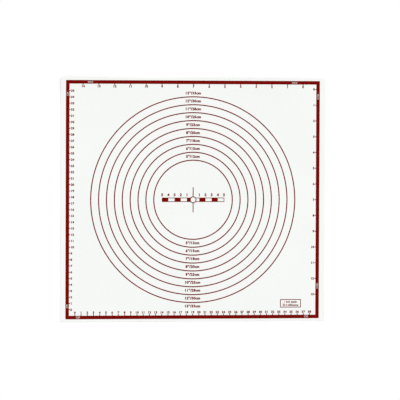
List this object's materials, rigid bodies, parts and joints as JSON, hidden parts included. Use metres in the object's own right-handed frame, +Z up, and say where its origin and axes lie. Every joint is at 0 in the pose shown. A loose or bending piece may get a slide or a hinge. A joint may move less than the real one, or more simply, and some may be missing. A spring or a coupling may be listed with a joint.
{
  "type": "silicone baking mat",
  "caption": "Thin flat baking mat of silicone-coated glass cloth, printed with a border band, centimetre and inch rules, rolling-out rings and a centre rule.",
  "frame": {"origin": "centre of the underside, on the surface that the mat lies on", "axes": "+Z up out of the printed face; +X to the right along the near centimetre rule, the long side; +Y up the printed page, towards the far inch rule"},
  "size_m": [0.427, 0.39, 0.0005],
  "materials": {
    "silicone_coat": "satin, translucent white silicone",
    "woven_glass": "plain-woven glass-fibre cloth",
    "printed_ink": "cured dark red silicone ink, satin"
  },
  "bodies": {
    "root": {"under_coat": "silicone_coat", "glass_cloth": "woven_glass", "top_coat": "silicone_coat", "border_band": "printed_ink", "cm_rule_near": "printed_ink", "cm_rule_left": "printed_ink", "inch_rule_far": "printed_ink", "inch_rule_right": "printed_ink", "ring_05_inch": "printed_ink", "ring_06_inch": "printed_ink", "ring_07_inch": "printed_ink", "ring_08_inch": "printed_ink", "ring_09_inch": "printed_ink", "ring_10_inch": "printed_ink", "ring_11_inch": "printed_ink", "ring_12_inch": "printed_ink", "ring_13_inch": "printed_ink", "centre_rule": "printed_ink", "note_frame": "printed_ink"}
  },
  "joints": []
}
